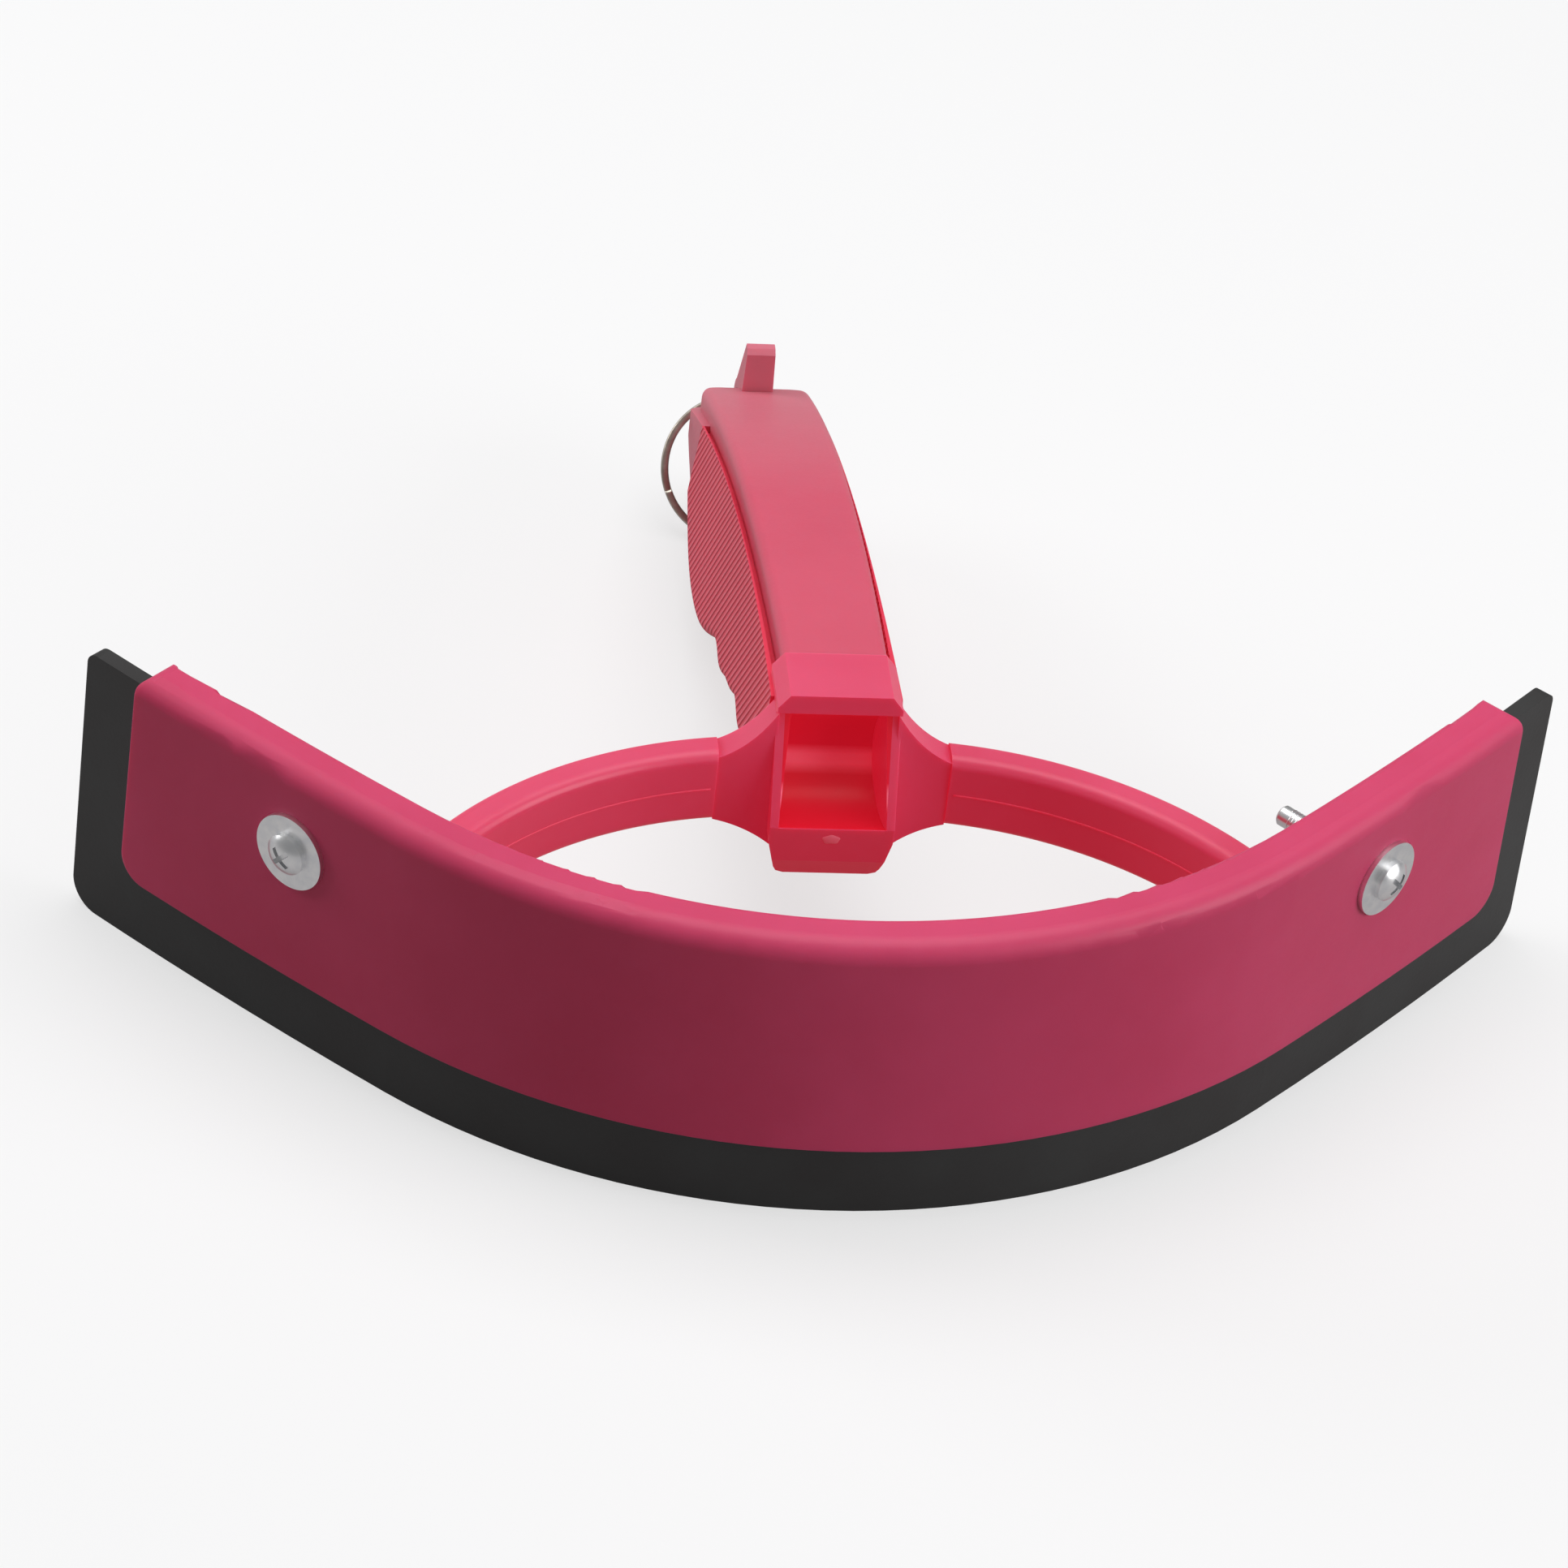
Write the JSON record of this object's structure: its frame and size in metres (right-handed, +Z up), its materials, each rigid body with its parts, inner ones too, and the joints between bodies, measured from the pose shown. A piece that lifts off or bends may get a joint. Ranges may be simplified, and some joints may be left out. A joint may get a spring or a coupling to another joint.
{
  "type": "horse sweat scraper",
  "caption": "Curved sweat scraper with a rubber blade clamped in a plastic holder, a forked hub behind it and a shaped handle with a hanging ring.",
  "frame": {"origin": "bottom centre of the bounding box, on the floor the rubber's lower edge stands on", "axes": "+X across the blade, +Y from the blade towards the handle's end, +Z up from the rubber's lower edge to the holder's top"},
  "size_m": [0.2756, 0.2304, 0.0654],
  "materials": {
    "pink_moulding": "satin",
    "handle_plastic": "satin",
    "soft_grip": "matte, ribbed",
    "black_rubber": "matte",
    "zinc_steel": "zinc plated",
    "ring_steel": "plain wire"
  },
  "bodies": {
    "scraper": {"blade_holder": "pink_moulding", "fork_arm_left": "pink_moulding", "fork_arm_right": "pink_moulding", "hub_socket": "pink_moulding", "handle_core": "handle_plastic", "grip_sleeve": "soft_grip", "rubber_blade": "black_rubber", "screw_left": "zinc_steel", "front_washer_left": "zinc_steel", "rear_washer_left": "zinc_steel", "nut_left": "zinc_steel", "screw_right": "zinc_steel", "front_washer_right": "zinc_steel", "rear_washer_right": "zinc_steel", "nut_right": "zinc_steel"},
    "ring": {"split_ring": "ring_steel"}
  },
  "joints": [
    {"name": "ring_swing", "type": "hinge", "parent": "scraper", "child": "ring", "pos_m": [0, 0.11065, 0.025], "axis": [1, 0, 0], "range_deg": [-6, 226]}
  ]
}
